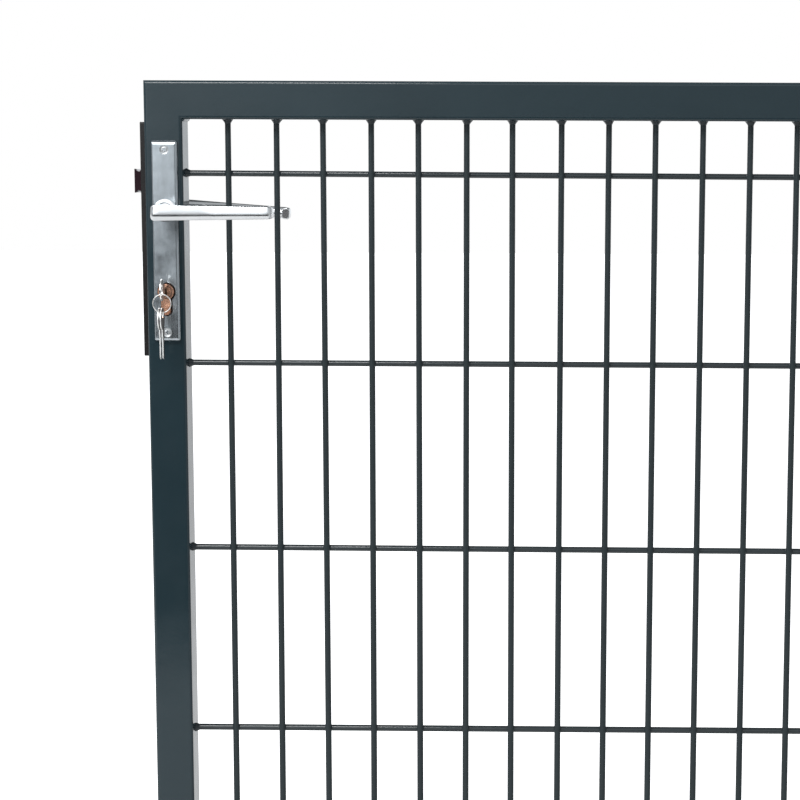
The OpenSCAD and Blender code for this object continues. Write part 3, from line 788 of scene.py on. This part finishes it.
def build_latch():
    """Dark face plate with notches, on a paler core that shows as a rim in the notches."""
    bm = bmesh.new()
    skin_rings(bm, [[Vector((x, bevel_y(x) + d, z)) for x, z in latch_outline()] for d in (0, CHEEK)])
    bmesh.ops.triangulate(bm, faces=bm.faces)
    piece("latch_face", bm, LATCH_DARK, "latch_steel", "latch", "latch_bolt", angle=30)
    bm = bmesh.new()
    xs = (LATCH_LO.x + CORE_NOSE, SLANT_END, LATCH_HI.x)
    ring = [(x, bevel_y(x) + CHEEK * 0.9) for x in xs] + [(xs[-1], LATCH_HI.y), (xs[0], LATCH_HI.y)]
    heights = (LATCH_LO.z + CORE_INSET, LATCH_HI.z - CORE_INSET)
    skin_rings(bm, [[Vector((x, y, z)) for x, y in ring] for z in heights])
    round_edges(piece("latch_core", bm, LATCH_RIM, "latch_steel", "latch", angle=30), CORE_ROUND)


# ---------- threads and welds on the steel parts ----------

PIN_R = 8 * MM
THREAD_PITCH, THREAD_CREST, THREAD_STEPS = 2 * MM, 0.35 * MM, 20
NUT_H = 13 * MM
BOLT_END, PINTLE_STUB, EYE_STUB = 5 * MM, 10 * MM, 7 * MM
BEAD_SIDES = 8
BEAD_RIPPLE, BEAD_RIPPLE_TURN, BEAD_UNEVEN = 0.035, 1.3, 0.02
CORNER_BEAD_R, FOOT_BEAD_R = 2.4 * MM, 4 * MM
CORNER_BEAD_START, CORNER_BEAD_STEP, CORNER_BEAD_COUNT = 3 * MM, 1.4 * MM, 25
POST_CORNER_R = 3.5 * MM


def thread(bm, origin, axis, length):
    """One helical ridge that fades out at both ends."""
    side = axis.orthogonal().normalized()
    up = axis.cross(side)
    count = int(length / THREAD_PITCH - 1) * THREAD_STEPS
    rings = []
    for i in range(count + 1):
        a = math.tau * i / THREAD_STEPS
        radial = side * math.cos(a) + up * math.sin(a)
        centre = origin + axis * (THREAD_PITCH * (0.5 + i / THREAD_STEPS))
        fade = min(1, i / THREAD_STEPS, (count - i) / THREAD_STEPS)
        root, half = radial * (PIN_R - 0.1 * MM), axis * (THREAD_PITCH * 0.45)
        rings.append([centre - half + root, centre + radial * (PIN_R + THREAD_CREST * fade), centre + half + root])
    skin_rings(bm, rings)


def build_threads():
    """Threads that show beside the nuts: each hinge bolt's end, and its stub before the post or the leaf."""
    post, leaf = bmesh.new(), bmesh.new()
    for name in ("upper", "lower"):
        lo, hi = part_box(name + "_pintle")
        z = lo.z + PIN_R
        thread(post, Vector((hi.x - BOLT_END - NUT_H, 0, z)), X, NUT_H + BOLT_END)
        thread(post, Vector((POST_LO.x - NUT_H - PINTLE_STUB, 0, z)), X, NUT_H + PINTLE_STUB)
        lo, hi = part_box(name + "_eye_bolt")
        z = (lo.z + hi.z) / 2
        thread(leaf, Vector((lo.x, 0, z)), X, NUT_H + BOLT_END)
        thread(leaf, Vector((RAIL_HI.x, 0, z)), X, NUT_H + EYE_STUB)
    piece("post_threads", post, HINGE_ZINC, "hinge_zinc", "post", angle=20)
    piece("leaf_threads", leaf, HINGE_ZINC, "hinge_zinc", "leaf", angle=20)


def bead(bm, rng, path, radius, closed=False):
    """Rippled weld bead along a path of points."""
    n = len(path)
    rings = []
    for i, p in enumerate(path):
        before = path[i - 1] if i or closed else path[0]
        after = path[(i + 1) % n] if i < n - 1 or closed else path[-1]
        along = (after - before).normalized()
        u = along.cross(Z if abs(along.z) < 0.9 else X).normalized()
        ripple = BEAD_RIPPLE * math.sin(i * BEAD_RIPPLE_TURN) + rng.uniform(-BEAD_UNEVEN, BEAD_UNEVEN)
        r = radius * (1 + ripple)
        rings.append(ring_around(p, u, along.cross(u), r, r, BEAD_SIDES))
    skin_rings(bm, rings, closed)


def post_outline(corner_steps=4, side_steps=27):
    """Points around the post's foot, corner after corner."""
    straight = (POST_HI.x - POST_LO.x) / 2 - POST_CORNER_R
    path = []
    for k in range(4):
        start = math.pi / 2 * k
        cx, cy = (straight * math.copysign(1, w) for w in (math.cos(start + 0.1), math.sin(start + 0.1)))
        for j in range(corner_steps + 1):
            a = start + math.pi / 2 * j / corner_steps
            path.append(Vector((cx + POST_CORNER_R * math.cos(a), cy + POST_CORNER_R * math.sin(a), FOOT_TOP)))
        last, turn = path[-1], start + math.pi / 2
        direction = Vector((-math.sin(turn), math.cos(turn), 0))
        path += [last + direction * (2 * straight * j / side_steps) for j in range(1, side_steps)]
    return path


def build_welds():
    """Seams across the leaf's inner corners, and the seam around the post's foot."""
    rng = random.Random(11)
    bm = bmesh.new()
    for x in (LEFT + TUBE, RAIL_HI.x - TUBE):
        for z in (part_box("bottom_rail")[0].z + TUBE, TOP - TUBE):
            ys = [FRONT + CORNER_BEAD_START + k * CORNER_BEAD_STEP for k in range(CORNER_BEAD_COUNT)]
            bead(bm, rng, [Vector((x, y, z)) for y in ys], CORNER_BEAD_R)
    piece("corner_welds", bm, FRAME_COAT, "frame_coat", "leaf", angle=60)
    bm = bmesh.new()
    bead(bm, rng, post_outline(), FOOT_BEAD_R, closed=True)
    piece("foot_weld", bm, FRAME_COAT, "frame_coat", "post", angle=60)


# ---------- keys and key ring ----------

KEY_THINNER = 0.55
SPARE_SHIFT, INSERTED_SHIFT = -1.4 * MM, -0.4 * MM
RING_THINNER, RING_FLATTER = 0.72, 0.94
RING_TURNS, RING_STEPS, RING_SIDES = 2, 72, 10
RING_FIRST_ANGLE = 0.6
SPLIT_START, SPLIT_LENGTH = 0.92, 0.16


def build_keys():
    """The three keys, thinner than their solids and with soft edges. The spares' inner flanks, facing each other, are
    painted dark as shade.
    """
    for name, body, finish, shift in (
        ("left_spare_key", "key_bunch", SPARE_NICKEL, SPARE_SHIFT),
        ("right_spare_key", "key_bunch", SPARE_NICKEL, SPARE_SHIFT),
        ("inserted_key", "key", KEY_NICKEL, INSERTED_SHIFT),
    ):
        lo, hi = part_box(name)
        middle = (lo.x + hi.x) / 2
        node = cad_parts[name]
        bm = bmesh.new()
        bm.from_mesh(node.data)
        bmesh.ops.transform(bm, matrix=node.matrix_world, verts=bm.verts)
        for v in bm.verts:
            v.co.x = middle + shift + (v.co.x - middle) * KEY_THINNER
        blank = piece(name.replace("_key", "_blank"), bm, finish, "key_nickel", body, name)
        # Painted shade: the flanks that face the other spare key get a dark finish.
        if finish is SPARE_NICKEL:
            blank.data.materials.append(KEY_INNER_SHADE)
            inner = -1 if name.startswith("right") else 1
            for face in blank.data.polygons:
                if face.normal.x * inner > 0.9:
                    face.material_index = 1
        round_edges(blank, 0.3 * MM, segments=3)


def build_ring():
    """Split ring: two turns of flat wire that lie against each other."""
    centre = (RING_LO + RING_HI) / 2
    wide = RING_HI.y - RING_LO.y
    thin, flat = wide / 2 * RING_THINNER, wide / 4 * RING_FLATTER
    radius = (RING_HI.x - RING_LO.x) / 2 - thin
    rings = []
    for i in range(RING_TURNS * RING_STEPS + 1):
        a = math.tau * i / RING_STEPS + RING_FIRST_ANGLE
        slide = -wide / 4 + wide / 2 * min(1, max(0, (i / RING_STEPS - SPLIT_START) / SPLIT_LENGTH))
        radial = Vector((math.cos(a), 0, math.sin(a)))
        rings.append(ring_around(centre + radial * radius + Y * slide, radial, Y, thin, flat, RING_SIDES))
    bm = bmesh.new()
    skin_rings(bm, rings)
    piece("split_ring", bm, KEY_NICKEL, "ring_steel", "key_bunch", "key_ring", angle=50)


# ---------- floor, light and camera ----------

WHITE, ROOM_TINT = (1, 1, 1, 1), (0.93, 0.97, 1.0, 1)
FLOOR_NEAR, FLOOR_FAR, FLOOR_HALF_W = -1.72, 14.0, 12.0
FLOOR_DROP = 0.5 * MM
GLOW_START, GLOW_FULL = 0.2, 0.8
GLOW_MIRRORED = 0.45
NEAR_FADE = 0.9

LIGHT_AT, LIGHT_AIM = Vector((-2.28, -1.45, 2.68)), Vector((-2.0, 0.0, 0.6))
LIGHT_WIDTH, LIGHT_HEIGHT, LIGHT_WATTS = 2.6, 0.5, 70

CAMERA_AT = Vector((LEFT + 0.4051, FRONT - 2.1605, TOP - 0.0441))
CAMERA_YAW, CAMERA_PITCH, CAMERA_ROLL = (math.radians(a) for a in (0.427, -7.837, 0.235))
CAMERA_LENS, CAMERA_SENSOR = 92.63, 36
CAMERA_SHIFT = -0.1449, 0.0098


def build_floor():
    """Pale floor that ends in front of the gate, where the lower frame mirrors its edge.

    Behind the gate it glows, less in reflections than to the camera. To the camera it also fades to white
    toward its near edge.
    """
    bm = bmesh.new()
    corners = (
        (-FLOOR_HALF_W, FLOOR_NEAR), (FLOOR_HALF_W, FLOOR_NEAR), (FLOOR_HALF_W, FLOOR_FAR), (-FLOOR_HALF_W, FLOOR_FAR),
    )
    bm.faces.new([bm.verts.new((x, y, 0)) for x, y in corners])
    mesh = bpy.data.meshes.new("floor")
    bm.to_mesh(mesh)
    bm.free()
    f = Finish("floor_white", (0.93, 0.93, 0.93), roughness=0.8)
    f.paint(f.ramp(f.noise(scale=2, detail=2), 0.92, 0.94))
    f.shader.inputs["Emission Color"].default_value = WHITE
    y = f.node("SeparateXYZ", {0: f.place}).outputs["Y"]
    camera_ray = f.node("LightPath").outputs["Is Camera Ray"]
    glow = maths(
        f.tree, "MULTIPLY", band(f.tree, y, GLOW_START, GLOW_FULL, 0, 1, "LINEAR"),
        band(f.tree, camera_ray, 0, 1, GLOW_MIRRORED, 1, "LINEAR"),
    )
    fade = band(f.tree, y, FLOOR_NEAR, FLOOR_NEAR + NEAR_FADE, 1, 0, "LINEAR")
    f.drive("Emission Strength", maths(f.tree, "MAXIMUM", glow, maths(f.tree, "MULTIPLY", fade, camera_ray)))
    mesh.materials.append(f.material)
    floor = bpy.data.objects.new("floor", mesh)
    bpy.context.scene.collection.objects.link(floor)
    floor.location.z = -FLOOR_DROP


def build_world():
    """White to the camera. As light, a sum of zones by direction, each a product of soft bands."""
    world = bpy.data.worlds.new("studio")
    bpy.context.scene.world = world
    world.use_nodes = True
    tree = world.node_tree
    direction = add_node(tree, "TexCoord").outputs["Generated"]
    x, y, z = add_node(tree, "SeparateXYZ", {0: direction}).outputs
    straight_behind = maths(tree, "ADD", maths(tree, "MULTIPLY", y, 0.954), maths(tree, "MULTIPLY", x, 0.30))
    backdrop = ((straight_behind, 0.80, 0.90, 0.0, 1.0), (z, 0.30, 0.12, 0.0, 1.0))
    room_in_front = (
        (y, -0.70, -0.90, 0.0, 1.0), (z, -0.058, -0.020, 0.0, 1.0), (x, 0.05, -0.45, 0.50, 2.3),
        (x, 0.45, 0.15, 0.75, 1.0), (z, 0.03, 0.22, 1.0, 1.9),
    )
    above = ((z, 0.35, 0.60, 0.0, 0.42), (y, 0.55, 0.25, 0.0, 1.0))
    left = ((x, -0.72, -0.90, 0.0, 0.50), (z, 0.75, 0.35, 0.0, 1.0), (z, -0.085, -0.05, 0.15, 1.0))
    right = ((x, 0.35, 0.70, 0.0, 0.50), (z, 0.75, 0.35, 0.0, 1.0))
    rest = ((z, -0.3, 0.6, 0.05, 0.08),)
    zones = (backdrop, room_in_front, above, left, right, rest)
    light = maths(tree, "ADD", *(maths(tree, "MULTIPLY", *(band(tree, *b) for b in zone)) for zone in zones))
    camera_ray = add_node(tree, "LightPath").outputs["Is Camera Ray"]
    for target, kind, as_light, to_camera in (("Strength", "FLOAT", light, 1.0), ("Color", "RGBA", ROOM_TINT, WHITE)):
        pick = add_node(tree, "Mix", {"Factor": camera_ray, "A": as_light, "B": to_camera}, data_type=kind)
        tree.links.new(pick.outputs["Result"], tree.nodes["Background"].inputs[target])


def build_overhead():
    """Soft strip light above and in front of the gate."""
    data = bpy.data.lights.new("overhead", "AREA")
    data.shape = "RECTANGLE"
    data.size, data.size_y = LIGHT_WIDTH, LIGHT_HEIGHT
    data.energy = LIGHT_WATTS
    light = bpy.data.objects.new("overhead", data)
    bpy.context.scene.collection.objects.link(light)
    light.location = LIGHT_AT
    light.rotation_mode = "QUATERNION"
    light.rotation_quaternion = (LIGHT_AIM - LIGHT_AT).to_track_quat("-Z", "Y")
    light.visible_camera = False


def build_camera():
    """Long lens in front of the lock side, looking down a little; the gate's middle lies off its axis."""
    data = bpy.data.cameras.new("camera")
    data.sensor_width = CAMERA_SENSOR
    data.lens = CAMERA_LENS
    data.shift_x, data.shift_y = CAMERA_SHIFT
    data.clip_start, data.clip_end = 0.05, 60
    camera = bpy.data.objects.new("camera", data)
    bpy.context.scene.collection.objects.link(camera)
    turn = Matrix.Rotation(CAMERA_YAW, 4, "Z") @ Matrix.Rotation(math.pi / 2 + CAMERA_PITCH, 4, "X")
    camera.matrix_world = Matrix.Translation(CAMERA_AT) @ turn @ Matrix.Rotation(CAMERA_ROLL, 4, "Z")
    bpy.context.scene.camera = camera


# ---------- build everything ----------

dress_nodes()
build_wires()
build_lever("front", back=False)
build_lever("back", back=True)
build_cover("front_cover", "front_plate", PLATE_LO, PLATE_HI, -Y)
build_cover("back_cover", "back_plate", BACK_PLATE_LO, BACK_PLATE_HI, Y)
build_cylinder_joints()
build_lever_plugs()
build_screws()
build_latch()
build_keys()
build_threads()
build_welds()
build_ring()
build_floor()
build_world()
build_overhead()
build_camera()
bpy.context.scene.view_settings.view_transform = "Standard"
